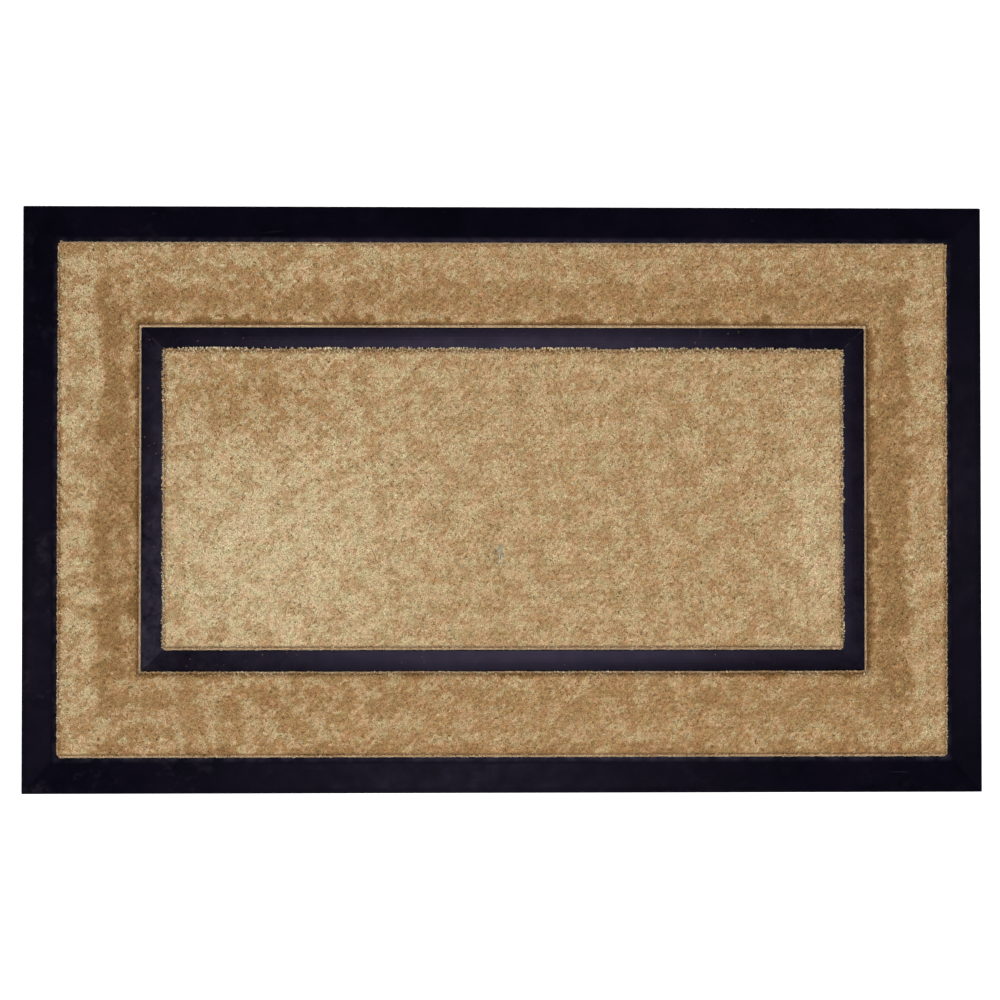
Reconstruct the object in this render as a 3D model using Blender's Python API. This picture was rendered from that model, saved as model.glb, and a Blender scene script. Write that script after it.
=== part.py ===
"""Framed coir door mat: a moulded rubber tray, a raised rubber picture frame, and the coir panels bonded
round the frame and inside it.

Metres, +Z up. The mat lies on the floor at z = 0 with its middle at the origin and its long side along X.
Every piece is a rounded rectangle in plan, so each one is lofted through loops. A loop is (outline, depth,
height, corner radius): it runs the given depth inside an outline, and its height is above the underside of
its own piece.
"""

import math

import bmesh
import bpy
from mathutils import Vector

# Overall size
LENGTH = 0.9144
WIDTH = 0.5588
THICKNESS = 0.0159

# Plan, from the outer edge inwards. The outer coir panel is wider along the long sides than at the ends.
BORDER_WIDTH = 0.0354
RING_END_WIDTH = 0.0784
RING_SIDE_WIDTH = 0.0808
FRAME_WIDTH = 0.0206

# Rubber tray
TRAY_CORNER = 0.0010
EDGE_HEIGHT = 0.0026
EDGE_FILLET = 0.0008
TOE_WIDTH = 0.0060
TOE_HEIGHT = 0.0042
TOE_FILLET = 0.0020
CREST_HEIGHT = 0.0085
CREST_FILLET = 0.0020
CREST_CORNER = 0.0037
LAND_WIDTH = 0.0050
LAND_DROP = 0.0004
FLOOR_SHEET = 0.0024
POCKET_CORNER = 0.0035

# Underside of the tray: a flat band round the edge and short studs in the shallow recess within it
FLOOR_BAND = 0.0180
RECESS_DEPTH = 0.0012
RECESS_DRAFT = 0.0010
STUD_DIAMETER = 0.0100
STUD_TAPER = 0.0008
STUD_PITCH = 0.0450
STUD_SIDES = 8
STUD_ROOT = 0.0006

# Raised picture frame
FRAME_OUTER_CORNER = 0.0012
FRAME_INNER_CORNER = 0.0030
FRAME_FILLET = 0.0010
FRAME_CROWN = 0.0004

# Coir panels and what holds them down
BOND_THICKNESS = 0.0004
BOND_MARGIN = 0.0030
BACKING_THICKNESS = 0.0018
PRESSED_EDGE_WIDTH = 0.0024
PRESSED_EDGE_RISE = 0.0002
PILE_SHOULDER = 0.0016
SHARPEST_CORNER = 0.0003

# Clearance wherever two pieces lie against each other
FIT_GAP = 0.0003

CORNER_STEPS = 5
FILLET_STEPS = 3
SMOOTH_BELOW = math.radians(48)

# Outlines, each the size along X and Y of a rectangle that pieces are set out from
MAT = (LENGTH, WIDTH)
FRAME = (LENGTH - 2 * (BORDER_WIDTH + RING_END_WIDTH), WIDTH - 2 * (BORDER_WIDTH + RING_SIDE_WIDTH))

# Heights that follow from the sizes above
FLOOR_TOP = RECESS_DEPTH + FLOOR_SHEET
BOND_BASE = FLOOR_TOP + FIT_GAP
SEAT = BOND_BASE + BOND_THICKNESS + FIT_GAP
PILE_BASE = SEAT + BACKING_THICKNESS + FIT_GAP

# Edges of the coir panels, each as (outline, depth, corner radius), with the same gap all the way round
RING_OUTER = (MAT, BORDER_WIDTH + FIT_GAP, POCKET_CORNER - FIT_GAP)
RING_INNER = (FRAME, -FIT_GAP, FRAME_OUTER_CORNER + FIT_GAP)
CENTRE_OUTER = (FRAME, FRAME_WIDTH + FIT_GAP, FRAME_INNER_CORNER - FIT_GAP)

# Finishes: material name, colour and roughness
BLACK_RUBBER = ("moulded_rubber", (0.012, 0.011, 0.015, 1), 0.62)
CREAM_PVC = ("pvc_backing", (0.56, 0.44, 0.30, 1), 0.55)
STRAW_COIR = ("coir_fibre", (0.42, 0.28, 0.14, 1), 0.95)
AMBER_ADHESIVE = ("hot_melt_adhesive", (0.45, 0.32, 0.12, 1), 0.40)


def clear_scene():
    for obj in list(bpy.data.objects):
        bpy.data.objects.remove(obj, do_unlink=True)


def material(finish):
    """The Principled material of a finish, made the first time it is asked for."""
    name, colour, roughness = finish
    found = bpy.data.materials.get(name)
    if found:
        return found
    made = bpy.data.materials.new(name)
    made.use_nodes = True
    shader = made.node_tree.nodes["Principled BSDF"]
    shader.inputs["Base Color"].default_value = colour
    shader.inputs["Roughness"].default_value = roughness
    shader.inputs["Metallic"].default_value = 0.0
    return made


def add_object(name, bm):
    """An object that holds the finished bmesh, smooth except along its real edges."""
    mesh = bpy.data.meshes.new(name)
    bm.to_mesh(mesh)
    bm.free()
    mesh.shade_smooth()
    mesh.set_sharp_from_angle(angle=SMOOTH_BELOW)
    obj = bpy.data.objects.new(name, mesh)
    bpy.context.scene.collection.objects.link(obj)
    return obj


def rounded_rectangle(outline, depth, height, radius):
    """Points anticlockwise round the outline, moved in by the depth, with its corners rounded."""
    half_x = outline[0] / 2 - depth - radius
    half_y = outline[1] / 2 - depth - radius
    points = []
    for corner, (side_x, side_y) in enumerate(((1, 1), (-1, 1), (-1, -1), (1, -1))):
        for step in range(CORNER_STEPS + 1):
            angle = math.radians(90 * (corner + step / CORNER_STEPS))
            x = side_x * half_x + radius * math.cos(angle)
            y = side_y * half_y + radius * math.sin(angle)
            points.append((x, y, height))
    return points


def filleted(outline, section):
    """Loops for a section of (depth, height, corner radius, fillet), with each fillet as a short arc.

    The arc's ends lie on the straight runs before and after its corner.
    """
    loops = []
    last = len(section) - 1
    for i, (depth, height, radius, fillet) in enumerate(section):
        if fillet == 0 or i in (0, last):
            loops.append((outline, depth, height, radius))
            continue
        here = Vector((depth, height, radius))
        before = Vector(section[i - 1][:3])
        after = Vector(section[i + 1][:3])
        start = here + (before - here).normalized() * fillet
        end = here + (after - here).normalized() * fillet
        for step in range(FILLET_STEPS + 1):
            t = step / FILLET_STEPS
            point = start * (1 - t) ** 2 + here * 2 * t * (1 - t) + end * t**2
            loops.append((outline, *point))
    return loops


def loft(name, base, loops, finish, parent, closed_section=False):
    """A piece skinned through its loops in turn, with its underside at the base height.

    A closed section joins the last loop back to the first, which makes a frame. Otherwise the first
    and last loops are filled in, which makes a slab.
    """
    bm = bmesh.new()
    rows = []
    for loop in loops:
        rows.append([bm.verts.new(point) for point in rounded_rectangle(*loop)])
    spans = list(zip(rows, rows[1:]))
    if closed_section:
        spans.append((rows[-1], rows[0]))
    else:
        bm.faces.new(rows[0])
        bm.faces.new(rows[-1])
    for lower, upper in spans:
        for i in range(len(lower)):
            bm.faces.new((lower[i - 1], lower[i], upper[i], upper[i - 1]))
    bmesh.ops.recalc_face_normals(bm, faces=bm.faces)
    obj = add_object(name, bm)
    obj.data.materials.append(material(finish))
    obj.parent = parent
    obj.location.z = base
    return obj


def stud_field():
    """The studs as one helper shape, each a short tapered post that ends just inside the rubber sheet."""
    span_x = LENGTH - 2 * (FLOOR_BAND + RECESS_DRAFT)
    span_y = WIDTH - 2 * (FLOOR_BAND + RECESS_DRAFT)
    columns = int(span_x / STUD_PITCH)
    rows = int(span_y / STUD_PITCH)
    height = RECESS_DEPTH + STUD_ROOT
    bm = bmesh.new()
    for column in range(columns):
        for row in range(rows):
            x = ((column + 0.5) / columns - 0.5) * span_x
            y = ((row + 0.5) / rows - 0.5) * span_y
            post = bmesh.ops.create_cone(
                bm,
                cap_ends=True,
                segments=STUD_SIDES,
                radius1=STUD_DIAMETER / 2 - STUD_TAPER,
                radius2=STUD_DIAMETER / 2,
                depth=height,
            )
            bmesh.ops.translate(bm, verts=post["verts"], vec=(x, y, height / 2))
    obj = add_object("stud_field", bm)
    obj.hide_render = True
    obj.display_type = "WIRE"
    return obj


def rubber_tray(parent):
    """Floor sheet, bevelled border and studs in one moulding.

    The border climbs from a thin toe to a crest, then drops a little to a level land beside the coir.
    """
    section = [
        (FLOOR_BAND + RECESS_DRAFT, RECESS_DEPTH, TRAY_CORNER, 0),
        (FLOOR_BAND, 0, TRAY_CORNER, 0),
        (0, 0, TRAY_CORNER, EDGE_FILLET),
        (0, EDGE_HEIGHT, TRAY_CORNER, EDGE_FILLET),
        (TOE_WIDTH, TOE_HEIGHT, TRAY_CORNER, TOE_FILLET),
        (BORDER_WIDTH - LAND_WIDTH, CREST_HEIGHT, CREST_CORNER, CREST_FILLET),
        (BORDER_WIDTH, CREST_HEIGHT - LAND_DROP, POCKET_CORNER, 0),
        (BORDER_WIDTH, FLOOR_TOP, POCKET_CORNER, 0),
    ]
    tray = loft("rubber_tray", 0, filleted(MAT, section), BLACK_RUBBER, parent)
    studs = tray.modifiers.new("studs", "BOOLEAN")
    studs.operation = "UNION"
    studs.solver = "EXACT"
    studs.object = stud_field()


def picture_frame(parent):
    """The raised rubber rail between the coir panels, slightly crowned, with rounded edges."""
    crown = CREST_HEIGHT - SEAT
    shoulder = crown - FRAME_CROWN
    middle_corner = (FRAME_OUTER_CORNER + FRAME_INNER_CORNER) / 2
    section = [
        (0, 0, FRAME_OUTER_CORNER, 0),
        (0, shoulder, FRAME_OUTER_CORNER, FRAME_FILLET),
        (FRAME_WIDTH / 2, crown, middle_corner, FRAME_WIDTH / 4),
        (FRAME_WIDTH, shoulder, FRAME_INNER_CORNER, FRAME_FILLET),
        (FRAME_WIDTH, 0, FRAME_INNER_CORNER, 0),
    ]
    loft("picture_frame", SEAT, filleted(FRAME, section), BLACK_RUBBER, parent, closed_section=True)


def moved(edge, distance):
    """An (outline, depth, corner radius) edge moved further in, or out if the distance is negative."""
    outline, depth, radius = edge
    return (outline, depth + distance, radius)


def sheet(name, base, thickness, outer, inner, finish, parent):
    """A flat sheet inside its outer edge, with a hole where it has an inner edge."""
    loops = []
    for edge, heights in ((outer, (0, thickness)), (inner, (thickness, 0))):
        if edge:
            outline, depth, radius = edge
            loops += [(outline, depth, height, radius) for height in heights]
    loft(name, base, loops, finish, parent, closed_section=inner is not None)


def adhesive(name, outer, inner, parent):
    """A film of adhesive that stops short of both edges of the piece it holds down."""
    outer = moved(outer, BOND_MARGIN)
    if inner:
        inner = moved(inner, -BOND_MARGIN)
    sheet(name, BOND_BASE, BOND_THICKNESS, outer, inner, AMBER_ADHESIVE, parent)


def coir_edge(edge, inwards):
    """Loops up one edge of a coir panel: inwards is 1 at its outer edge and -1 at the edge of its hole.

    The outermost strip is pressed down to the rubber's level, and the pile stands up inside it.
    """
    outline, start, corner = edge
    pressed_top = CREST_HEIGHT + PRESSED_EDGE_RISE - PILE_BASE
    pile_top = THICKNESS - PILE_BASE
    steps = [
        (0, 0),
        (0, pressed_top),
        (PRESSED_EDGE_WIDTH, pressed_top),
        (PRESSED_EDGE_WIDTH, pile_top - PILE_SHOULDER),
        (PRESSED_EDGE_WIDTH + PILE_SHOULDER / 3, pile_top - PILE_SHOULDER / 3),
        (PRESSED_EDGE_WIDTH + PILE_SHOULDER, pile_top),
    ]
    loops = []
    for distance, height in steps:
        radius = max(corner - inwards * distance, SHARPEST_CORNER)
        loops.append((outline, start + inwards * distance, height, radius))
    return loops


def coir_panel(label, outer, inner, parent):
    """A panel of coir with its backing and adhesive. It is a ring if it has an inner edge."""
    adhesive(f"{label}_panel_adhesive", outer, inner, parent)
    sheet(f"{label}_panel_backing", SEAT, BACKING_THICKNESS, outer, inner, CREAM_PVC, parent)
    loops = coir_edge(outer, 1)
    if inner:
        loops += reversed(coir_edge(inner, -1))
    loft(f"{label}_panel_coir", PILE_BASE, loops, STRAW_COIR, parent, closed_section=inner is not None)


def main():
    clear_scene()
    mat = bpy.data.objects.new("door_mat", None)
    bpy.context.scene.collection.objects.link(mat)
    rubber_tray(mat)
    frame_outer = (FRAME, 0, FRAME_OUTER_CORNER)
    frame_inner = (FRAME, FRAME_WIDTH, FRAME_INNER_CORNER)
    adhesive("picture_frame_adhesive", frame_outer, frame_inner, mat)
    picture_frame(mat)
    coir_panel("outer", RING_OUTER, RING_INNER, mat)
    coir_panel("centre", CENTRE_OUTER, None, mat)


main()
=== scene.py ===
import math

import bmesh
import bpy
import numpy as np
from mathutils import Euler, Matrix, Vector


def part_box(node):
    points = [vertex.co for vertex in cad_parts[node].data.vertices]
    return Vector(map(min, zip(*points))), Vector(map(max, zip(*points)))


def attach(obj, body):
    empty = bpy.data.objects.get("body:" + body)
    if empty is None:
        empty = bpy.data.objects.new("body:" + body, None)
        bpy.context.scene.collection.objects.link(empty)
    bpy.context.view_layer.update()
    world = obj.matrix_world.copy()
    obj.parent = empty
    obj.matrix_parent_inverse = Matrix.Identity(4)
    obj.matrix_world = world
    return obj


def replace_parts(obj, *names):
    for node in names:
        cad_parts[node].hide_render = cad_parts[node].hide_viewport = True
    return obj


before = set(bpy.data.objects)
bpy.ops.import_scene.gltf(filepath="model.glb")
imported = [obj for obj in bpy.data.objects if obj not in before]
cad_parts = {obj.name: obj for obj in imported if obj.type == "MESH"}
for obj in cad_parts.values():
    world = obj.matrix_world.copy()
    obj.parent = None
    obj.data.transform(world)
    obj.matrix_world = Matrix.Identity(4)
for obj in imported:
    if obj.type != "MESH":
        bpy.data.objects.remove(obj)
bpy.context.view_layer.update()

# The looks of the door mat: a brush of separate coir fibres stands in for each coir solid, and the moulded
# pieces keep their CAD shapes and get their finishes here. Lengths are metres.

SEED = 7

# The pressed lip round each coir panel, which is wider where the nap leans away from it, and the matted
# foot of the pile inside it
LIP_WIDTH = 0.0008
LIP_WIDER = 0.0008
LIP_ROUND = 0.0005
LIP_DROP = 0.0002
BED_STEP = 0.0025
BED_HEIGHT = 0.0045
BED_SLOPE = 0.0035
BED_ROUGHNESS = 0.0004
CORNER_ROUND = {"outer": 0.0032, "centre": 0.0027}

# Short fibres pressed flat on the lip, which end raggedly about at the panel's edge
PRESSED_SPACING = 0.0006
PRESSED_LENGTH = (0.0012, 0.0022)
PRESSED_PAST_EDGE = (-0.0005, 0.0006)
PRESSED_LIFT = (0.00010, 0.00028)

# Upright fibres. A lean is how far a tip moves sideways for each unit that it climbs.
FIBRE_SPACING = 0.00105
FIBRE_RADIUS = (0.00016, 0.00034)
FIBRE_SIDES = 3
FIBRE_ROOT = 0.0003
FIBRE_FLARE = 1.15
FIBRE_SPREAD = 0.15
FIBRES_PER_PIECE = 24000
NAP_LEAN = 0.28
NAP_SWIRL = 0.12
TUFT_LEAN = 0.12
EDGE_SPLAY = 0.14
EDGE_SPLAY_REACH = 0.0025
EDGE_UNEVENNESS = 0.0005

# How far past its panel's edge a fibre may reach, at edges that the nap leans over and at the others.
# The pile stands back from the border of the mat, and hangs a little over the picture frame, where its
# tips are paler from FRINGE_START inside the edge and at their palest FRINGE_WIDTH further out.
REACH_AT_BORDER = (-0.0026, -0.0010)
REACH_AT_FRAME = (0.0016, 0.0003)
FRINGE_START = 0.0003
FRINGE_WIDTH = 0.0008
FRINGE_PALER = 0.20

# The top of the pile: its rounded shoulders, its uneven tufts and the gaps between their rows, which also
# get painted shade
SHOULDER_WIDTH = 0.0030
SHOULDER_DROP = 0.0011
TUFT_RELIEF = 0.00028
ROW_PITCH = 0.0128
ROW_RELIEF = 0.0005
ROW_GAP_PAINTED_SHADE = 0.15
TIP_UNEVENNESS = 0.00045
STRAY_SHARE = 0.008
STRAY_RISE = 0.0008

# A fibre's own tone runs from 0 for dark brown to 1 for straw. TONE and PRESSED_TONE are the middle and the
# spread, and CLUMP_TONE is how much the tones of whole clumps vary.
TONE = (0.55, 0.15)
CLUMP_TONE = 0.17
TONE_LOWEST = 0.06
# Dark fibres stand partly for dark coir and partly as painted shade in the gaps between tips
DARK_SHARE = 0.011
DARK_TONE = 0.03
# A few fibres are painted white as glints on the pile
GLINT_SHARE = 0.006
PRESSED_TONE = (0.58, 0.2)
PRESSED_PALE = 0.72

# The pile is blotched in two tones. BLOTCH_CONTRAST is how far they differ at each BLOTCH_X along the mat.
# The pale one has as much of the pile as the brown one where the shade is EVEN_SHADE.
PATCH_SHARE = 1.4
FLECK_SHARE = 1.1
CURD_SHARE = 0.7
BLOTCH_EDGE = 1.4
SHADE_PULL = 8
EVEN_SHADE = 0.44
BLOTCH_X = (-0.20, -0.02, 0.20)
BLOTCH_CONTRAST = (0.105, 0.065, 0.075)

# Ovals of the centre panel that are paler or browner than the rest: middle, size and difference in shade
CENTRE_SHADE = 0.45
CENTRE_PATCHES = (
    ((-0.22, -0.05), (0.13, 0.10), 0.14),
    ((0.297, -0.02), (0.030, 0.10), 0.12),
    ((-0.24, 0.10), (0.07, 0.035), -0.12),
)

# The outer panel's shade by distance in from its outer edge, and how far its brown band wanders. The pale
# edge and the brown band are painted light and shade of the nap's lean. Painted shade on the pile's wall
# browns it beside the picture frame, where it is more than INNER_PART in, and along its near edge. Each of
# the two fades out between the two distances given.
OUTER_SHADE = 0.38
BAND_INWARDS = (0, 0.005, 0.036, 0.042, 0.062, 0.068)
BAND_PAINTED_NAP_SHADING = (-0.06, 0.09, 0.08, -0.12, -0.12, 0.0)
BAND_WANDER = 0.0045
INNER_PART = 0.04
BESIDE_FRAME = (0.0045, 0.0065)
BESIDE_FRAME_PAINTED_SHADE = 0.25
NEAR_EDGE = (0.005, 0.014)
NEAR_EDGE_PAINTED_SHADE = 0.13

# Loose bits lying on the mat. A curl is the most that a loose fibre turns, in radians, and crumbs lie up to
# CRUMB_REACH outside the centre panel.
LOOSE_POINTS = 9
LOOSE_FIBRES = 120
LOOSE_LENGTH = (0.005, 0.016)
HUSK_FLECKS = 180
HUSK_LENGTH = (0.0010, 0.0026)
FRAME_FLECKS = 40
CRUMB_LENGTH = (0.0005, 0.0016)
CRUMB_REACH = 0.019
LOOSE_CURL = 2.5
HUSK_CURL = 0.8
LINT_CURL = 6.0
LINT_RADIUS = 0.00016
LINT_THREADS = 14
LINT_LENGTH = (0.006, 0.016)
LINT_MIDDLE = (-0.003, -0.052)
LINT_SPREAD = 0.0035

# The gap that the CAD model leaves round the picture frame
FRAME_GAP = 0.0003

# Straight above the mat, a hair off its axis towards the near left corner. The tilt is in degrees.
CAMERA_DISTANCE = 1.3265
CAMERA_TILT = (0.57, -0.72)
CAMERA_AIM = (-0.0035, -0.0005, 0)

# Each softbox faces the mat: name, place, size and power
SOFTBOXES = (
    ("overhead_softbox", (0.06, 0.02, 2.1), 1.0, 42),
    ("left_softbox", (-2.1, -0.35, 2.1), 0.6, 12),
    ("front_softbox", (-0.1, -1.6, 2.1), 0.7, 24),
    ("right_softbox", (2.1, 0.0, 2.1), 0.8, 16),
)
WORLD_STRENGTH = 0.65


def srgb(red, green, blue):
    """A linear colour with full alpha from 0 to 255 display values."""
    channels = []
    for value in (red, green, blue):
        v = value / 255
        channels.append(v / 12.92 if v <= 0.04045 else ((v + 0.055) / 1.055) ** 2.4)
    return (*channels, 1.0)


def mm(value):
    return value / 1000


# ---------------------------------------------------------------- node materials


class Shader:
    """A small helper to lay out one node material."""

    def __init__(self, name, roughness, specular=0.5):
        self.material = bpy.data.materials.new(name)
        self.material.use_nodes = True
        self.tree = self.material.node_tree
        self.bsdf = self.tree.nodes["Principled BSDF"]
        self.bsdf.inputs["Roughness"].default_value = roughness
        self.bsdf.inputs["Specular IOR Level"].default_value = specular
        self.place = None

    def node(self, kind, **settings):
        made = self.tree.nodes.new(kind)
        for key, value in settings.items():
            setattr(made, key, value)
        return made

    def put(self, value, socket):
        """Links a socket, or sets a fixed value."""
        if isinstance(value, bpy.types.NodeSocket):
            self.tree.links.new(value, socket)
        else:
            socket.default_value = value

    def own_place(self):
        """The piece's own coordinates, which are the mat's."""
        if self.place is None:
            self.place = self.node("ShaderNodeTexCoord").outputs["Object"]
        return self.place

    def noise(self, size, detail=2.0, roughness=0.5, stretch=(1, 1, 1), offset=0.0):
        """Noise from about 0.25 to 0.75 whose blobs are about the given size across."""
        mapping = self.node("ShaderNodeMapping")
        mapping.inputs["Scale"].default_value = stretch
        mapping.inputs["Location"].default_value = (offset, offset, offset)
        self.put(self.own_place(), mapping.inputs["Vector"])
        noise = self.node("ShaderNodeTexNoise")
        noise.inputs["Scale"].default_value = 1 / size
        noise.inputs["Detail"].default_value = detail
        noise.inputs["Roughness"].default_value = roughness
        self.put(mapping.outputs["Vector"], noise.inputs["Vector"])
        return noise.outputs["Fac"]

    def attribute(self, name):
        return self.node("ShaderNodeAttribute", attribute_name=name).outputs["Fac"]

    def ramp(self, factor, stops):
        """Colours at positions from 0 to 1."""
        ramp = self.node("ShaderNodeValToRGB")
        elements = ramp.color_ramp.elements
        elements[0].position, elements[0].color = stops[0]
        elements[1].position, elements[1].color = stops[-1]
        for position, colour in stops[1:-1]:
            elements.new(position).color = colour
        self.put(factor, ramp.inputs["Fac"])
        return ramp.outputs["Color"]

    def remap(self, value, low, high, to_low, to_high):
        node = self.node("ShaderNodeMapRange")
        for key, number in (("From Min", low), ("From Max", high), ("To Min", to_low), ("To Max", to_high)):
            node.inputs[key].default_value = number
        self.put(value, node.inputs["Value"])
        return node.outputs["Result"]

    def mix(self, factor, first, second, blend="MIX"):
        node = self.node("ShaderNodeMix", data_type="RGBA", blend_type=blend)
        self.put(factor, node.inputs[0])
        self.put(first, node.inputs[6])
        self.put(second, node.inputs[7])
        return node.outputs[2]

    def maths(self, operation, first, second=0.0):
        node = self.node("ShaderNodeMath", operation=operation)
        self.put(first, node.inputs[0])
        self.put(second, node.inputs[1])
        return node.outputs[0]

    def along(self, axis):
        """Each point's X (0) or Y (1)."""
        split = self.node("ShaderNodeSeparateXYZ")
        self.put(self.own_place(), split.inputs[0])
        return split.outputs[axis]

    def past_corner(self, half):
        """How far each point lies outside the half sizes of a rectangle about the origin, along X and Y."""
        past = []
        for axis, size in enumerate(half):
            past.append(self.maths("SUBTRACT", self.maths("ABSOLUTE", self.along(axis)), size))
        return past

    def near_left_highlight(self):
        """1 towards the mat's near left corner, falling to a little everywhere else: where painted
        highlights on the rubber are strongest.
        """
        left = self.remap(self.along(0), -0.40, -0.10, 1.0, 0.25)
        return self.maths("MULTIPLY", left, self.remap(self.along(1), -0.12, 0.10, 1.0, 0.35))

    def bump(self, height, distance):
        node = self.node("ShaderNodeBump")
        node.inputs["Distance"].default_value = distance
        self.put(height, node.inputs["Height"])
        self.put(node.outputs["Normal"], self.bsdf.inputs["Normal"])

    def colour(self, socket):
        self.put(socket, self.bsdf.inputs["Base Color"])
        return self.material


# A faint violet sheen on the rubber
RUBBER_SHEEN = (0.76, 0.62, 1.0, 1)

NAP_COLOURS = [
    (0.0, srgb(146, 115, 72)),
    (0.3, srgb(183, 154, 115)),
    (0.6, srgb(214, 202, 176)),
    (1.0, srgb(233, 229, 212)),
]
ROSY = srgb(255, 245, 236)
GREENISH = srgb(249, 254, 241)


def nap_colour(s):
    """The colour of the pile from place to place, with a faint drift between rosy and greenish."""
    drift = s.remap(s.noise(mm(11), detail=3.0, roughness=0.6, offset=6.5), 0.38, 0.62, 0.0, 1.0)
    return s.mix(1.0, s.ramp(s.attribute("pale"), NAP_COLOURS), s.mix(drift, ROSY, GREENISH), "MULTIPLY")


def coir_fibre():
    """Fibres from dark brown to straw, paler where the nap is pale, and browner towards their roots: partly
    their own colour and partly painted shade deep in the pile.
    """
    s = Shader("coir_fibre", roughness=0.6, specular=0.3)
    own = s.ramp(
        s.attribute("tone"),
        [
            (0.0, srgb(76, 60, 48)),
            (0.06, srgb(126, 104, 84)),
            (0.30, srgb(206, 194, 180)),
            (0.70, srgb(242, 238, 231)),
            (1.0, srgb(255, 255, 255)),
        ],
    )
    # Browner towards the roots: partly the fibres' own colour, partly painted shade deep in the pile
    depth = s.ramp(
        s.attribute("along"),
        [(0.0, srgb(108, 80, 54)), (0.6, srgb(176, 148, 118)), (0.95, srgb(255, 255, 255))],
    )
    return s.colour(s.mix(1.0, s.mix(1.0, nap_colour(s), own, "MULTIPLY"), depth, "MULTIPLY"))


def coir_bed():
    """The matted foot of the pile, painted dark brown as the shade at the base of the pile, and the pale
    pressed lip round it.
    """
    s = Shader("coir_bed", roughness=0.85, specular=0.2)
    hairs = s.noise(mm(0.9), detail=3.0, roughness=0.7)
    shade = s.ramp(hairs, [(0.3, srgb(92, 76, 60)), (0.5, srgb(196, 184, 168)), (0.7, srgb(250, 246, 240))])
    top = s.mix(1.0, nap_colour(s), shade, "MULTIPLY")
    # The foot is painted dark brown as the shade at the base of the pile
    bed = s.mix(s.attribute("foot"), top, srgb(84, 58, 36))
    pressed = s.ramp(
        s.noise(mm(2.2), detail=4.0, stretch=(0.5, 0.5, 1), offset=1.7),
        [(0.3, srgb(150, 122, 90)), (0.55, srgb(178, 150, 116)), (0.75, srgb(196, 170, 136))],
    )
    s.bump(hairs, mm(0.5))
    return s.colour(s.mix(s.attribute("lip"), bed, pressed))


def rubber(name, dark, light, roughness, specular, dust):
    """Black rubber with a faint mottle, fine moulding grain and a few pale specks and nicks.

    Returns its shader and the colour so far.
    """
    s = Shader(name, roughness=roughness, specular=specular)
    s.bsdf.inputs["Specular Tint"].default_value = RUBBER_SHEEN
    mottle = s.noise(mm(60), detail=5.0, roughness=0.6)
    base = s.ramp(mottle, [(0.35, dark), (0.65, light)])
    specks = s.remap(s.noise(mm(3.0), detail=6.0, roughness=0.75, offset=5.3), 0.66, 0.78, 0.0, dust)
    nicks = s.noise(mm(2.4), detail=1.0, stretch=(0.4, 1, 1), offset=3.9)
    nicks = s.remap(nicks, 0.79, 0.83, 0.0, dust * 2)
    grain = s.noise(mm(18), detail=4.0, roughness=0.65, offset=2.4)
    s.put(s.remap(grain, 0.3, 0.7, roughness - 0.06, roughness + 0.08), s.bsdf.inputs["Roughness"])
    s.bump(s.noise(mm(0.9), detail=3.0, roughness=0.6, offset=7.7), mm(0.06))
    return s, s.mix(s.maths("MAXIMUM", specks, nicks), base, srgb(120, 112, 110))


def border_rubber(coir_half):
    """The border is scuffed in a few places, mostly towards its near left corner, where a painted highlight
    rides on the scuffs, and coir dust has settled along its inner edge.
    """
    s, colour = rubber("border_rubber", srgb(1, 1, 4), srgb(4, 3, 10), 0.32, 0.03, 0.03)
    past = s.past_corner(coir_half)
    beside = s.remap(s.maths("MAXIMUM", *past), 0.0, mm(6), 1.0, 0.0)
    dust = s.remap(s.noise(mm(9), detail=5.0, offset=4.4), 0.40, 0.7, 0.0, 0.08)
    dusty = s.maths("MULTIPLY", beside, dust)
    # Scuffs, mostly towards the near left corner, painted lighter there as a highlight
    scuffs_and_highlight = s.remap(s.noise(mm(30), detail=8.0, roughness=0.75, offset=8.2), 0.55, 0.80, 0.0, 0.07)
    scuffs_and_highlight = s.maths("MULTIPLY", scuffs_and_highlight, s.near_left_highlight())
    scratches = s.remap(s.noise(mm(3), detail=2.0, stretch=(0.06, 1, 1), offset=1.2), 0.72, 0.80, 0.0, 0.03)
    # Wear together with the painted highlight
    wear_and_highlight = s.maths("MAXIMUM", s.maths("MAXIMUM", dusty, scuffs_and_highlight), scratches)
    return s.colour(s.mix(wear_and_highlight, colour, srgb(118, 110, 124)))


def frame_rubber(frame_half):
    """The picture frame has dusty side rails with a painted highlight towards the near left corner, a faint
    painted highlight line at each mitre, and a few scratches.
    """
    s, colour = rubber("frame_rubber", srgb(2, 1, 5), srgb(5, 4, 11), 0.22, 0.050, 0.06)
    past_x, past_y = s.past_corner(frame_half)
    from_mitre = s.maths("SUBTRACT", past_x, past_y)
    side_rail = s.remap(from_mitre, -mm(0.4), mm(0.4), 0.35, 1.0)
    # A faint painted highlight line along each mitre
    mitre_highlight = s.remap(s.maths("ABSOLUTE", from_mitre), 0.0, mm(1.2), 1.0, 0.0)
    mitre_highlight = s.maths("MULTIPLY", mitre_highlight, s.remap(s.noise(mm(7), offset=3.3), 0.40, 0.65, 0.0, 0.08))
    # Dust on the side rails, with a painted highlight towards the near left corner
    dust_and_highlight = s.remap(s.noise(mm(14), detail=8.0, roughness=0.75, offset=9.1), 0.35, 0.75, 0.0, 0.14)
    dust_and_highlight = s.maths("MULTIPLY", dust_and_highlight, s.maths("MULTIPLY", s.near_left_highlight(), side_rail))
    scratches = s.remap(s.noise(mm(2), detail=2.0, stretch=(1, 0.08, 1), offset=6.2), 0.70, 0.80, 0.0, 0.07)
    wear_and_highlight = s.maths("MAXIMUM", s.maths("MAXIMUM", dust_and_highlight, mitre_highlight), scratches)
    return s.colour(s.mix(wear_and_highlight, colour, srgb(120, 112, 130)))


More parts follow.
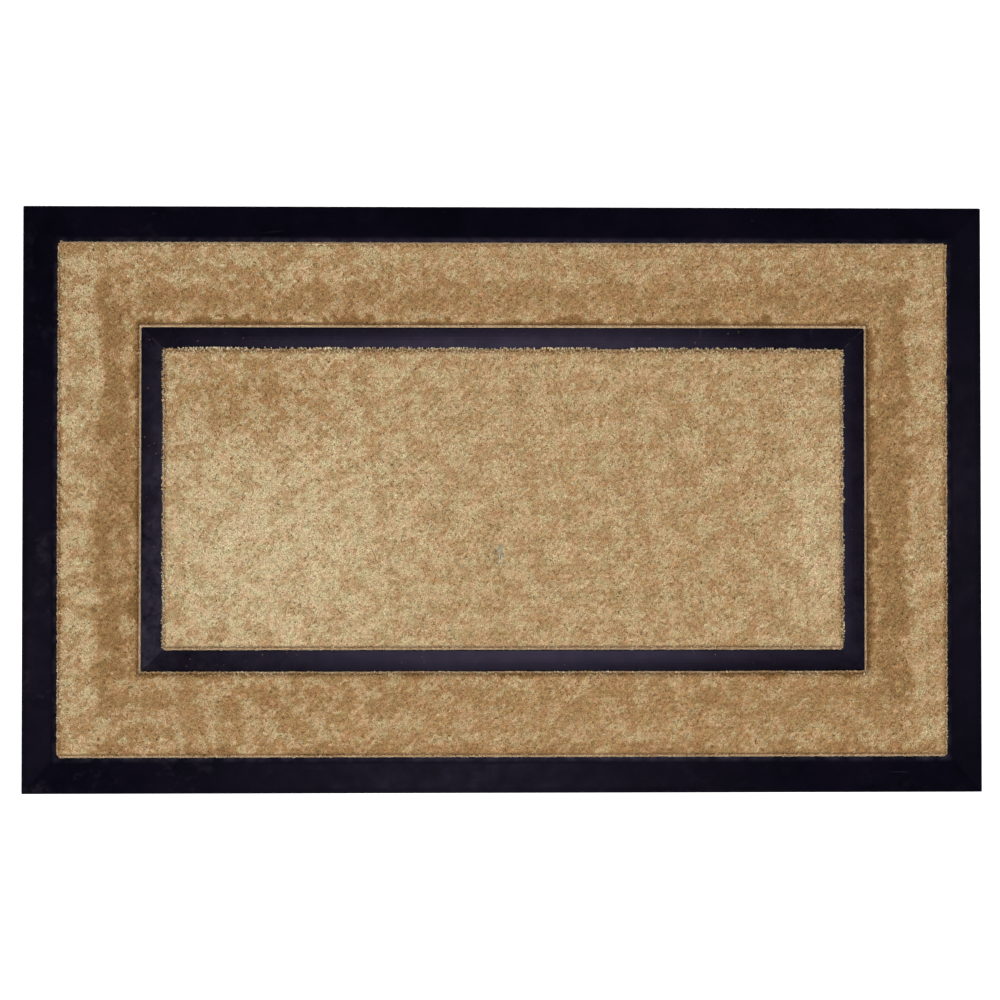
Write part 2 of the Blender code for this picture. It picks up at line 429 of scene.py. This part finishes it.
def lint_material():
    """Threads from slate to pale grey-green."""
    s = Shader("lint", roughness=0.9, specular=0.1)
    fuzz = s.noise(mm(1.5), detail=3.0)
    thread = s.ramp(
        s.attribute("tone"),
        [(0.0, srgb(46, 54, 54)), (0.5, srgb(104, 116, 104)), (1.0, srgb(192, 198, 172))],
    )
    return s.colour(s.mix(s.remap(fuzz, 0.3, 0.7, 0.0, 0.4), thread, srgb(150, 150, 128)))


def sheet_material(name, dark, light, grain, roughness):
    s = Shader(name, roughness=roughness, specular=0.4)
    noise = s.noise(grain, detail=4.0)
    s.bump(noise, grain * 0.05)
    return s.colour(s.ramp(noise, [(0.35, dark), (0.65, light)]))


# ---------------------------------------------------------------- where the pile is pale, and how it leans


class Ripples:
    """Smooth random numbers over the mat, with a spread of about 1, that vary over the given distance."""

    def __init__(self, size, rng, waves=32):
        turn = rng.uniform(0, 2 * math.pi, waves)
        rate = 2 * math.pi / (size * rng.uniform(1.2, 4.0, waves))
        self.kx = rate * np.cos(turn)
        self.ky = rate * np.sin(turn)
        self.phase = rng.uniform(0, 2 * math.pi, waves)

    def __call__(self, x, y):
        total = np.zeros_like(x)
        for kx, ky, phase in zip(self.kx, self.ky, self.phase):
            total += np.cos(kx * x + ky * y + phase)
        return total / math.sqrt(len(self.phase) / 2)


class Nap:
    """The lie of the pile over the whole mat, shared by its fibres and its matting."""

    def __init__(self, rng):
        self.broad = Ripples(mm(60), rng)
        self.patch = Ripples(mm(12), rng)
        self.fleck = Ripples(mm(5), rng)
        self.curd = Ripples(mm(2.8), rng, waves=48)
        self.tuft = Ripples(mm(2.0), rng, waves=48)
        self.clump = Ripples(mm(1.3), rng, waves=64)
        self.tuft_lean_x = Ripples(mm(2.2), rng, waves=40)
        self.tuft_lean_y = Ripples(mm(2.2), rng, waves=40)
        self.swirl_x = Ripples(mm(22), rng)
        self.swirl_y = Ripples(mm(22), rng)

    def pale(self, panel, x, y):
        """How pale the pile is, from 0 for brown to 1 for cream.

        It is curdled: plateaus of two tones with crisp, uneven edges, of which the brown ones are the
        rarer where the pile as a whole is pale. The two tones differ most towards the mat's left end.
        """
        shade = panel.shade(x, y) if panel.hole is None else panel.shade(*self.wandered(x, y))
        uneven = PATCH_SHARE * self.patch(x, y) + FLECK_SHARE * self.fleck(x, y)
        uneven += CURD_SHARE * self.curd(x, y)
        curdled = np.tanh(BLOTCH_EDGE * uneven + SHADE_PULL * (shade - EVEN_SHADE))
        contrast = np.interp(x, BLOTCH_X, BLOTCH_CONTRAST)
        # Painted shade in the gaps between rows of tufts
        fine = 0.02 * self.curd(x, y) + 0.04 * self.tuft(x, y) - ROW_GAP_PAINTED_SHADE * self.rows(x, y)
        return np.clip(shade + contrast * curdled + fine, 0, 1)

    def rows(self, x, y):
        """1 in the thin gaps between the rows of tufts, which run along X and come and go, else 0."""
        wave = np.cos(2 * math.pi * y / ROW_PITCH + 0.6 * self.broad(x, y))
        return np.clip(wave, 0, 1) ** 8 * np.clip(0.5 + 0.7 * self.fleck(x, y), 0, 1)

    def wandered(self, x, y):
        """The same points shifted unevenly, so that whatever is laid out by them has wavering edges."""
        shift_x = 0.6 * self.swirl_x(x, y) + 0.5 * self.fleck(x, y)
        shift_y = 0.6 * self.swirl_y(x, y) + 0.5 * self.fleck(x, y)
        return x + BAND_WANDER * shift_x, y + BAND_WANDER * shift_y


def bump_at(x, y, middle, size):
    """1 at the middle of a soft oval area, and 0 well outside it."""
    return np.exp(-(((x - middle[0]) / size[0]) ** 2) - ((y - middle[1]) / size[1]) ** 2)


def centre_shade(x, y):
    """The centre panel is pale on the left and near its right end, and tan between and at its far left."""
    shade = CENTRE_SHADE - 0.02 * np.clip(x / 0.3, -1, 1)
    for middle, size, difference in CENTRE_PATCHES:
        shade += difference * bump_at(x, y, middle, size)
    return shade


def outer_shade(panel, x, y):
    """The outer panel is paler along its outer edge and has a brown band inside that, mostly at its ends:
    painted light and shade of the nap's lean.

    Painted shade on the pile's wall browns it again beside the picture frame, except at the near edge, and
    along its near outer edge.
    """
    from_end = panel.half[0] - np.abs(x)
    from_side = panel.half[1] - np.abs(y)
    inwards = np.minimum(from_end, from_side)
    # The band is painted light and shade of the nap's lean, paler outside and browner inside
    band = np.interp(inwards, BAND_INWARDS, BAND_PAINTED_NAP_SHADING)
    at_end = np.clip((from_side - from_end) / mm(20) + 0.5, 0, 1)
    along_side = np.where(y > 0, 0.45, 0.2)
    # Painted shade on the pile's wall beside the picture frame
    beside_frame = np.interp(panel.depth(x, y), BESIDE_FRAME, (1, 0))
    beside_frame *= (inwards > INNER_PART) & (y > -panel.hole[1])
    # Painted shade on the pile's wall along the near outer edge
    near_edge = np.interp(y + panel.half[1], NEAR_EDGE, (1, 0))
    shade = OUTER_SHADE - 0.03 * np.clip(x / 0.4, 0, 1) + band * (along_side + (1 - along_side) * at_end)
    return shade - BESIDE_FRAME_PAINTED_SHADE * beside_frame - NEAR_EDGE_PAINTED_SHADE * near_edge


class Panel:
    """One coir panel in plan: a rectangle with rounded corners, with a square-cornered hole in a ring."""

    def __init__(self, label, lip_top, hole=None):
        low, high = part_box(f"{label}_panel_coir")
        self.label = label
        self.half = (high[0], high[1])
        self.base = low[2]
        self.top = high[2]
        self.lip_top = lip_top
        self.corner = CORNER_ROUND[label]
        self.hole = hole

    def shade(self, x, y):
        return outer_shade(self, x, y) if self.hole else centre_shade(x, y)

    def depth(self, x, y):
        """Distance in from the nearest edge, before the corners are rounded."""
        depth = np.minimum(self.half[0] - np.abs(x), self.half[1] - np.abs(y))
        if self.hole:
            past_x = np.abs(x) - self.hole[0]
            past_y = np.abs(y) - self.hole[1]
            outside = np.hypot(np.maximum(past_x, 0), np.maximum(past_y, 0))
            depth = np.minimum(depth, outside + np.minimum(np.maximum(past_x, past_y), 0))
        return depth

    def lip(self, x, y):
        """How wide the pressed lip is at the nearest edge."""
        return LIP_WIDTH + LIP_WIDER * np.clip(self.inward(x, y)[1], 0, 1)

    def reach(self, x, y):
        """How far past the nearest edge a fibre may reach. The nap leans over the edges that face +Y."""
        over = np.clip(-self.inward(x, y)[1], 0, 1)
        at_frame = REACH_AT_FRAME[1] + over * (REACH_AT_FRAME[0] - REACH_AT_FRAME[1])
        if not self.hole:
            return at_frame
        at_border = REACH_AT_BORDER[1] + over * (REACH_AT_BORDER[0] - REACH_AT_BORDER[1])
        from_rim = np.minimum(self.half[0] - np.abs(x), self.half[1] - np.abs(y))
        return np.where(from_rim < self.depth(x, y) + mm(0.01), at_border, at_frame)

    def inward(self, x, y):
        """The direction in from the nearest edge, as X and Y parts."""
        step = mm(0.5)
        slope_x = self.depth(x + step, y) - self.depth(x - step, y)
        slope_y = self.depth(x, y + step) - self.depth(x, y - step)
        return slope_x / (2 * step), slope_y / (2 * step)

    def rounded(self, x, y):
        """The same points with the square of each outer corner drawn in to a quarter circle."""
        over_x = (np.abs(x) - self.half[0] + self.corner) / self.corner
        over_y = (np.abs(y) - self.half[1] + self.corner) / self.corner
        held = (over_x > 0) & (over_y > 0)
        pull_x = np.where(held, 1 - np.sqrt(1 - np.clip(over_y, 0, 1) ** 2 / 2), 0)
        pull_y = np.where(held, 1 - np.sqrt(1 - np.clip(over_x, 0, 1) ** 2 / 2), 0)
        inner_x = x - np.sign(x) * over_x * pull_x * self.corner
        inner_y = y - np.sign(y) * over_y * pull_y * self.corner
        return inner_x, inner_y


# ---------------------------------------------------------------- meshes


def add_piece(name, mesh, material):
    obj = bpy.data.objects.new(name, mesh)
    bpy.context.scene.collection.objects.link(obj)
    mesh.materials.append(material)
    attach(obj, "root")
    return obj


def float_attribute(mesh, name, values):
    layer = mesh.attributes.new(name, "FLOAT", "POINT")
    layer.data.foreach_set("value", np.ascontiguousarray(values, dtype=np.float32))


def grid_lines(half, hole):
    """Positions across a panel: close together over each lip and evenly spaced between them."""
    wide = LIP_WIDTH + LIP_WIDER
    foot = (LIP_WIDTH, LIP_WIDTH + BED_SLOPE / 3, wide, wide + BED_SLOPE / 3, wide + BED_SLOPE)
    lip = np.array((0, LIP_ROUND / 2, LIP_ROUND, *sorted(foot)))
    keys = list(half - lip)
    if hole:
        keys += list(hole + lip)
    keys = sorted(keys + [0])
    lines = [keys[0]]
    for key in keys[1:]:
        steps = max(1, round((key - lines[-1]) / BED_STEP))
        lines += list(np.linspace(lines[-1], key, steps + 1)[1:])
    return np.array([-v for v in lines[:0:-1]] + lines)


def bed_surface(panel, xs, ys, rng):
    """Points of the foot's top at the given grid: level at the lip, then climbing to rough matting."""
    gx, gy = np.meshgrid(xs, ys)
    depth = panel.depth(gx, gy)
    drop = np.interp(depth, (0, LIP_ROUND / 2, LIP_ROUND), (LIP_ROUND, LIP_ROUND * 0.3, 0))
    past_lip = depth - panel.lip(gx, gy)
    climb = np.interp(past_lip, (0, BED_SLOPE / 3, BED_SLOPE), (0, BED_HEIGHT * 0.6, BED_HEIGHT))
    rough = Ripples(mm(2.5), rng, waves=40)(gx, gy) * np.interp(past_lip, (0, BED_SLOPE), (0.08, 1))
    height = panel.lip_top - drop + climb + rough * BED_ROUGHNESS
    return np.stack([*panel.rounded(gx, gy), height], axis=-1)


def bed_mesh(panel, xs, ys, places):
    """A closed solid under the grid's points that are on the panel, down to the panel's base."""
    bm = bmesh.new()
    verts = [bm.verts.new(p) for p in places.reshape(-1, 3)]
    columns = len(xs)
    middle = panel.depth(*np.meshgrid((xs[:-1] + xs[1:]) / 2, (ys[:-1] + ys[1:]) / 2)) > 0
    for row, column in np.argwhere(middle):
        i = row * columns + column
        bm.faces.new((verts[i], verts[i + 1], verts[i + columns + 1], verts[i + columns]))
    bmesh.ops.delete(bm, geom=[v for v in bm.verts if not v.link_faces], context="VERTS")
    rim = [e for e in bm.edges if e.is_boundary]
    skirt = bmesh.ops.extrude_edge_only(bm, edges=rim)["geom"]
    for vert in skirt:
        if isinstance(vert, bmesh.types.BMVert):
            vert.co.z = panel.base
    bmesh.ops.triangle_fill(bm, edges=[e for e in bm.edges if e.is_boundary])
    bmesh.ops.recalc_face_normals(bm, faces=bm.faces)
    mesh = bpy.data.meshes.new(f"{panel.label}_coir_bed")
    bm.to_mesh(mesh)
    bm.free()
    mesh.shade_smooth()
    return mesh


def coir_bed_piece(panel, nap, material, rng):
    """The solid foot of a panel: a lip pressed flat round its edges and rough matting inside it."""
    xs = grid_lines(panel.half[0], panel.hole and panel.hole[0])
    ys = grid_lines(panel.half[1], panel.hole and panel.hole[1])
    mesh = bed_mesh(panel, xs, ys, bed_surface(panel, xs, ys, rng))
    points = np.empty(len(mesh.vertices) * 3, np.float32)
    mesh.vertices.foreach_get("co", points)
    x, y, _ = points.reshape(-1, 3).T
    past_lip = panel.depth(x, y) - panel.lip(x, y)
    float_attribute(mesh, "pale", nap.pale(panel, x, y))
    # How much painted shade each point of the foot takes, from 1 at the lip to 0 up the slope
    float_attribute(mesh, "foot", np.interp(past_lip, (0, BED_SLOPE), (1, 0)))
    float_attribute(mesh, "lip", np.interp(past_lip, (0, mm(0.3)), (1, 0)))
    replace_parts(add_piece(mesh.name, mesh, material), f"{panel.label}_panel_coir")


def rod_corners(paths, radius, rng):
    """The corners of a three-sided rod along each path, with an oblique cut at its tip."""
    count, points, _ = paths.shape
    along = np.gradient(paths, axis=1)
    along /= np.linalg.norm(along, axis=2, keepdims=True)
    upright = np.abs(along[:, :1, 2:]) > 0.7
    side = np.cross(along, np.where(upright, (1.0, 0, 0), (0, 0, 1.0)))
    side /= np.linalg.norm(side, axis=2, keepdims=True)
    over = np.cross(along, side)
    turn = rng.uniform(0, 2 * math.pi, count)
    angle = turn[:, None] + np.arange(FIBRE_SIDES) * 2 * math.pi / FIBRE_SIDES
    ring = side[:, :, None] * np.cos(angle)[:, None, :, None]
    ring = ring + over[:, :, None] * np.sin(angle)[:, None, :, None]
    flare = np.linspace(1, FIBRE_FLARE, points)
    corners = paths[:, :, None] + ring * (radius[:, None] * flare)[:, :, None, None]
    slant = rng.uniform(0, 1.5, count) * radius
    corners[:, -1] += along[:, -1, None] * slant[:, None, None] * np.cos(angle)[:, :, None]
    return corners


def rod_faces(count, points):
    """The corner numbers of every face of the rods in turn, and how many corners each face has."""
    first = (np.arange(count) * points * FIBRE_SIDES)[:, None]
    faces = []
    for point in range(points - 1):
        for i in range(FIBRE_SIDES):
            j = (i + 1) % FIBRE_SIDES
            low, high = point * FIBRE_SIDES, (point + 1) * FIBRE_SIDES
            faces.append(first + np.array((low + i, low + j, high + j, high + i)))
    faces.append(first + np.arange(FIBRE_SIDES)[::-1])
    faces.append(first + (points - 1) * FIBRE_SIDES + np.arange(FIBRE_SIDES))
    sizes = np.tile([4] * FIBRE_SIDES * (points - 1) + [FIBRE_SIDES] * 2, count)
    return np.concatenate(faces, axis=1).ravel(), sizes


def strand_piece(name, paths, radius, tone, pale, material, rng):
    """One piece of many fibres, each a closed rod along its own path with its own tone and paleness."""
    count, points, _ = paths.shape
    corners = rod_corners(paths, radius, rng)
    faces, sizes = rod_faces(count, points)
    mesh = bpy.data.meshes.new(name)
    mesh.vertices.add(count * points * FIBRE_SIDES)
    mesh.vertices.foreach_set("co", corners.astype(np.float32).ravel())
    mesh.loops.add(len(faces))
    mesh.loops.foreach_set("vertex_index", faces.astype(np.int32))
    mesh.polygons.add(len(sizes))
    mesh.polygons.foreach_set("loop_start", np.concatenate([[0], np.cumsum(sizes)[:-1]]).astype(np.int32))
    mesh.polygons.foreach_set("loop_total", sizes.astype(np.int32))
    mesh.update(calc_edges=True)
    float_attribute(mesh, "tone", np.repeat(tone, points * FIBRE_SIDES))
    float_attribute(mesh, "pale", np.repeat(pale, points * FIBRE_SIDES))
    float_attribute(mesh, "along", np.tile(np.repeat(np.linspace(0, 1, points), FIBRE_SIDES), count))
    strand_map(mesh, count, points)
    mesh.shade_smooth()
    return add_piece(name, mesh, material)


def strand_map(mesh, count, points):
    """A UV map on which every fibre has a small square of its own, with its root low and its tip high."""
    cell = []
    levels = np.linspace(0.15, 0.85, points)
    for low, high in zip(levels, levels[1:]):
        for i in range(FIBRE_SIDES):
            left = 0.15 + 0.7 * i / FIBRE_SIDES
            right = 0.15 + 0.7 * (i + 1) / FIBRE_SIDES
            cell += [(left, low), (right, low), (right, high), (left, high)]
    cell += [(0.8, 0.12), (0.5, 0.04), (0.2, 0.12), (0.2, 0.88), (0.5, 0.96), (0.8, 0.88)]
    across = math.ceil(math.sqrt(count))
    index = np.arange(count)
    corner = np.stack([index % across, index // across], axis=1)
    places = (corner[:, None] + np.array(cell)[None]) / across
    layer = mesh.uv_layers.new(name="OFBake")
    layer.uv.foreach_set("vector", places.astype(np.float32).ravel())


def pile_places(panel, rng):
    """Where a panel's fibres grow: at a random place in each square of a grid, and nowhere on the lip."""
    half_x, half_y = panel.half
    columns = int(2 * half_x / FIBRE_SPACING)
    rows = int(2 * half_y / FIBRE_SPACING)
    gx, gy = np.meshgrid(np.arange(columns) + 0.5, np.arange(rows) + 0.5)
    x = (gx.ravel() + rng.uniform(-0.5, 0.5, gx.size)) * FIBRE_SPACING - half_x
    y = (gy.ravel() + rng.uniform(-0.5, 0.5, gy.size)) * FIBRE_SPACING - half_y
    grows = panel.depth(x, y) - panel.lip(x, y) > FIBRE_RADIUS[1]
    return x[grows], y[grows]


def pile_leans(panel, nap, x, y, depth, rng):
    """How far each fibre leans along X and Y: with the nap, with its tuft, and outwards at an edge."""
    inward_x, inward_y = panel.inward(x, y)
    splay = EDGE_SPLAY * np.exp(-depth / EDGE_SPLAY_REACH)
    lean_x = NAP_SWIRL * nap.swirl_x(x, y) + TUFT_LEAN * nap.tuft_lean_x(x, y) - splay * inward_x
    lean_y = NAP_SWIRL * nap.swirl_y(x, y) + TUFT_LEAN * nap.tuft_lean_y(x, y) - splay * inward_y
    lean_x += rng.normal(0, FIBRE_SPREAD, len(x))
    lean_y += rng.normal(NAP_LEAN, FIBRE_SPREAD, len(x))
    return lean_x, lean_y


def pile_heights(panel, nap, x, y, depth, rng):
    """The height of each fibre's tip, and which fibres are dark and which are painted white as glints.
    Those two show on top.
    """
    count = len(x)
    shoulder = SHOULDER_DROP * (1 - np.sqrt(np.clip(depth / SHOULDER_WIDTH, 0, 1)))
    relief = TUFT_RELIEF * nap.tuft(x, y) - ROW_RELIEF * nap.rows(x, y)
    surface = panel.top - shoulder + relief
    tip = surface - np.abs(rng.normal(0, TIP_UNEVENNESS, count))
    tip += np.where(rng.random(count) < STRAY_SHARE, rng.uniform(0, STRAY_RISE, count), 0)
    chance = rng.random(count)
    dark = chance < DARK_SHARE
    glint = chance > 1 - GLINT_SHARE
    tip[dark | glint] = surface[dark | glint]
    return tip, dark, glint


def pile_paths(panel, x, y, lean_x, lean_y, tip, rng):
    """The root and tip of each fibre, which is drawn in where its tip would reach too far past an edge."""
    root = panel.lip_top + FIBRE_ROOT
    upright = math.sqrt(1 + NAP_LEAN**2)
    climb = (tip - root) * np.minimum(1, upright / np.sqrt(1 + lean_x**2 + lean_y**2))
    tip_x = x + lean_x * climb
    tip_y = y + lean_y * climb
    allowed = panel.reach(x, y) - rng.uniform(0, EDGE_UNEVENNESS, len(x))
    too_far = np.maximum(0, -panel.depth(tip_x, tip_y) - allowed)
    inward_x, inward_y = panel.inward(x, y)
    tip_x += too_far * inward_x
    tip_y += too_far * inward_y
    roots = np.stack([*panel.rounded(x, y), np.full(len(x), root)], axis=1)
    tips = np.stack([*panel.rounded(tip_x, tip_y), root + climb], axis=1)
    return np.stack([roots, tips], axis=1), tip_x, tip_y


def pile_tones(panel, nap, x, y, dark, glint, rng):
    """The tone and paleness of each fibre by its tip's place. Those that hang past an edge are paler."""
    tone = np.clip(rng.normal(*TONE, len(x)) + CLUMP_TONE * nap.clump(x, y), TONE_LOWEST, 1)
    # Dark fibres: partly dark coir, partly painted shade in the gaps between tips
    tone[dark] = rng.uniform(0, DARK_TONE, np.count_nonzero(dark))
    # Glint fibres painted white as highlights
    tone[glint] = 1
    paler = FRINGE_PALER * np.clip((FRINGE_START - panel.depth(x, y)) / FRINGE_WIDTH, 0, 1)
    return np.clip(tone + paler, 0, 1), np.clip(nap.pale(panel, x, y) + paler, 0, 1)


def pile_pieces(panel, nap, material, rng):
    """The upright cut pile of one panel, as several pieces that each hold a share of its fibres."""
    x, y = pile_places(panel, rng)
    depth = panel.depth(x, y) - panel.lip(x, y)
    lean_x, lean_y = pile_leans(panel, nap, x, y, depth, rng)
    tip, dark, glint = pile_heights(panel, nap, x, y, depth, rng)
    paths, tip_x, tip_y = pile_paths(panel, x, y, lean_x, lean_y, tip, rng)
    radius = rng.uniform(*FIBRE_RADIUS, len(x))
    radius[dark | glint] = FIBRE_RADIUS[1]
    tone, pale = pile_tones(panel, nap, tip_x, tip_y, dark, glint, rng)

    pieces = math.ceil(len(x) / FIBRES_PER_PIECE)
    order = np.argsort(y, kind="stable")
    for number, part in enumerate(np.array_split(order, pieces), 1):
        name = f"{panel.label}_pile_{number:02d}"
        strand_piece(name, paths[part], radius[part], tone[part], pale[part], material, rng)
    print("PILE", panel.label, len(x), "fibres in", pieces, "pieces")


def pressed_piece(panel, nap, material, rng):
    """Short fibres pressed flat across the lip at every edge of a panel, side by side."""
    half_x, half_y = panel.half
    edges = [(half_x, half_y, 1)]
    if panel.hole:
        edges.append((*panel.hole, -1))
    ends = []
    outwards = []
    for size_x, size_y, side in edges:
        for along, across, turned in ((size_x, size_y, False), (size_y, size_x, True)):
            run = np.arange(-along + mm(1), along - mm(1), PRESSED_SPACING)
            for sign in (-1, 1):
                place = np.stack([run, np.full_like(run, sign * across)], axis=1)
                out = np.broadcast_to((0.0, float(sign * side)), place.shape)
                ends.append(place[:, ::-1] if turned else place)
                outwards.append(out[:, ::-1] if turned else out)
    ends = np.concatenate(ends)
    outwards = np.concatenate(outwards)
    count = len(ends)
    sideways = outwards[:, ::-1] * rng.normal(0, 0.25, count)[:, None]
    tips = ends + outwards * rng.uniform(*PRESSED_PAST_EDGE, count)[:, None]
    roots = tips - (outwards + sideways) * rng.uniform(*PRESSED_LENGTH, count)[:, None]
    height = panel.lip_top + rng.uniform(*PRESSED_LIFT, (count, 2))
    plan = np.stack([roots, tips], axis=1)
    rounded = np.stack(panel.rounded(plan[..., 0], plan[..., 1]), axis=-1)
    paths = np.concatenate([rounded, height[..., None]], axis=2)
    radius = rng.uniform(0.6, 0.9, count) * FIBRE_RADIUS[1]
    x, y = ends.T
    pale = np.clip(PRESSED_PALE + 0.12 * nap.fleck(x, y), 0, 1)
    tone = np.clip(rng.normal(*PRESSED_TONE, count) + 0.1 * nap.clump(x, y), 0.1, 1)
    strand_piece(f"{panel.label}_pressed_fibres", paths, radius, tone, pale, material, rng)


def places_on(wanted, count, half, rng):
    """Random places within half of the middle where wanted(x, y) is true."""
    x, y = rng.uniform(-1, 1, (2, count * 40)) * np.array(half)[:, None]
    kept = np.flatnonzero(wanted(x, y))[:count]
    return np.stack([x[kept], y[kept]], axis=1)


def curled_paths(middles, length, bend, height, rng):
    """Paths of curled fibres that lie about level, each of which turns by up to the given bend."""
    count = len(middles)
    t = np.linspace(-0.5, 0.5, LOOSE_POINTS)
    length = rng.uniform(*length, count)[:, None]
    heading = rng.uniform(0, 2 * math.pi, count)[:, None] + rng.uniform(-bend, bend, count)[:, None] * t
    heading += 0.5 * rng.uniform(-bend, bend, count)[:, None] * np.sin(2 * math.pi * t)
    step = length / (LOOSE_POINTS - 1)
    plan = np.cumsum(np.stack([np.cos(heading) * step, np.sin(heading) * step], axis=-1), axis=1)
    plan += middles[:, None] - plan.mean(axis=1, keepdims=True)
    lift = rng.uniform(*height, (count, 1)) + mm(0.25) * np.sin(2 * math.pi * (t + rng.random((count, 1))))
    return np.concatenate([plan, lift[..., None]], axis=2)


def loose_bits(outer, centre, rail_top, material, rng):
    """Shed fibres and flecks of husk on the pile, crumbs on the frame, and a small tangle of lint."""
    top = centre.top
    rail = (centre.half[0] + CRUMB_REACH, centre.half[1] + CRUMB_REACH)

    def on_pile(x, y):
        return np.maximum(outer.depth(x, y), centre.depth(x, y)) > mm(5)

    def on_frame(x, y):
        return np.maximum(outer.depth(x, y), centre.depth(x, y)) < -mm(2)

    middles = places_on(on_pile, LOOSE_FIBRES, outer.half, rng)
    shed = curled_paths(middles, LOOSE_LENGTH, LOOSE_CURL, (top, top + mm(0.4)), rng)
    tone = rng.choice((0.02, 0.35, 0.95), LOOSE_FIBRES, p=(0.25, 0.25, 0.5))
    radius = rng.uniform(mm(0.09), mm(0.19), LOOSE_FIBRES)
    strand_piece("shed_fibres", shed, radius, tone, np.full(LOOSE_FIBRES, 0.75), material, rng)

    middles = places_on(on_pile, HUSK_FLECKS, outer.half, rng)
    husk = curled_paths(middles, HUSK_LENGTH, HUSK_CURL, (top, top + mm(0.2)), rng)
    tone = rng.uniform(0, 0.05, HUSK_FLECKS)
    radius = rng.uniform(mm(0.2), mm(0.4), HUSK_FLECKS)
    strand_piece("husk_flecks", husk, radius, tone, np.zeros(HUSK_FLECKS), material, rng)

    middles = places_on(on_frame, FRAME_FLECKS, rail, rng)
    level = (rail_top + mm(0.3), rail_top + mm(0.4))
    crumbs = curled_paths(middles, CRUMB_LENGTH, HUSK_CURL, level, rng)
    tone = rng.uniform(0.1, 0.6, FRAME_FLECKS)
    radius = rng.uniform(mm(0.08), mm(0.2), FRAME_FLECKS)
    strand_piece("frame_flecks", crumbs, radius, tone, np.full(FRAME_FLECKS, 0.7), material, rng)

    middles = np.array(LINT_MIDDLE) + rng.normal(0, LINT_SPREAD, (LINT_THREADS, 2)) * (0.7, 1.3)
    threads = curled_paths(middles, LINT_LENGTH, LINT_CURL, (top, top + mm(0.5)), rng)
    tone = rng.uniform(0, 1, LINT_THREADS)
    radius = np.full(LINT_THREADS, LINT_RADIUS)
    strand_piece("lint", threads, radius, tone, tone, lint_material(), rng)


# ---------------------------------------------------------------- stage


def stage():
    mesh = bpy.data.meshes.new("floor")
    bm = bmesh.new()
    bmesh.ops.create_grid(bm, x_segments=1, y_segments=1, size=4)
    bm.to_mesh(mesh)
    bm.free()
    floor = bpy.data.objects.new("floor", mesh)
    bpy.context.scene.collection.objects.link(floor)
    floor.location.z = -mm(0.2)
    s = Shader("pale_floor", roughness=0.9, specular=0.1)
    s.bsdf.inputs["Base Color"].default_value = (0.86, 0.86, 0.86, 1)
    mesh.materials.append(s.material)


def lights():
    world = bpy.data.worlds.new("studio")
    bpy.context.scene.world = world
    world.use_nodes = True
    background = world.node_tree.nodes["Background"]
    background.inputs["Color"].default_value = (1.0, 1.0, 1.0, 1)
    background.inputs["Strength"].default_value = WORLD_STRENGTH
    for name, place, size, power in SOFTBOXES:
        data = bpy.data.lights.new(name, "AREA")
        data.size = size
        data.energy = power
        light = bpy.data.objects.new(name, data)
        light.location = place
        light.rotation_mode = "QUATERNION"
        light.rotation_quaternion = Vector(place).to_track_quat("Z", "Y")
        bpy.context.scene.collection.objects.link(light)


def camera():
    data = bpy.data.cameras.new("camera")
    data.lens = 50
    data.sensor_width = 36
    data.clip_start = 0.05
    obj = bpy.data.objects.new("camera", data)
    bpy.context.scene.collection.objects.link(obj)
    tilt = Euler((math.radians(CAMERA_TILT[0]), math.radians(CAMERA_TILT[1]), 0))
    obj.rotation_euler = tilt
    obj.location = tilt.to_matrix() @ Vector((0, 0, CAMERA_DISTANCE)) + Vector(CAMERA_AIM)
    bpy.context.scene.camera = obj
    bpy.context.scene.view_settings.view_transform = "Standard"


def finish_cad_nodes():
    border = border_rubber(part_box("outer_panel_coir")[1][:2])
    rail = frame_rubber(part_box("picture_frame")[1][:2])
    backing = sheet_material("pvc_backing", srgb(196, 170, 134), srgb(222, 198, 166), mm(6), 0.55)
    glue = sheet_material("hot_melt_adhesive", srgb(150, 118, 60), srgb(186, 152, 92), mm(9), 0.4)
    wears = {
        "rubber_tray": border,
        "picture_frame": rail,
        "outer_panel_backing": backing,
        "centre_panel_backing": backing,
        "outer_panel_adhesive": glue,
        "centre_panel_adhesive": glue,
        "picture_frame_adhesive": glue,
    }
    for name, material in wears.items():
        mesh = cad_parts[name].data
        mesh.materials.clear()
        mesh.materials.append(material)


def main():
    rng = np.random.default_rng(SEED)
    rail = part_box("picture_frame")[1]
    lip_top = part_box("rubber_tray")[1][2] + LIP_DROP
    outer = Panel("outer", lip_top, hole=(rail[0] + FRAME_GAP, rail[1] + FRAME_GAP))
    centre = Panel("centre", lip_top)
    nap = Nap(rng)
    fibre = coir_fibre()
    bed = coir_bed()
    for panel in (outer, centre):
        coir_bed_piece(panel, nap, bed, rng)
        pressed_piece(panel, nap, fibre, rng)
        pile_pieces(panel, nap, fibre, rng)
    loose_bits(outer, centre, rail[2], fibre, rng)
    finish_cad_nodes()
    stage()
    lights()
    camera()


main()
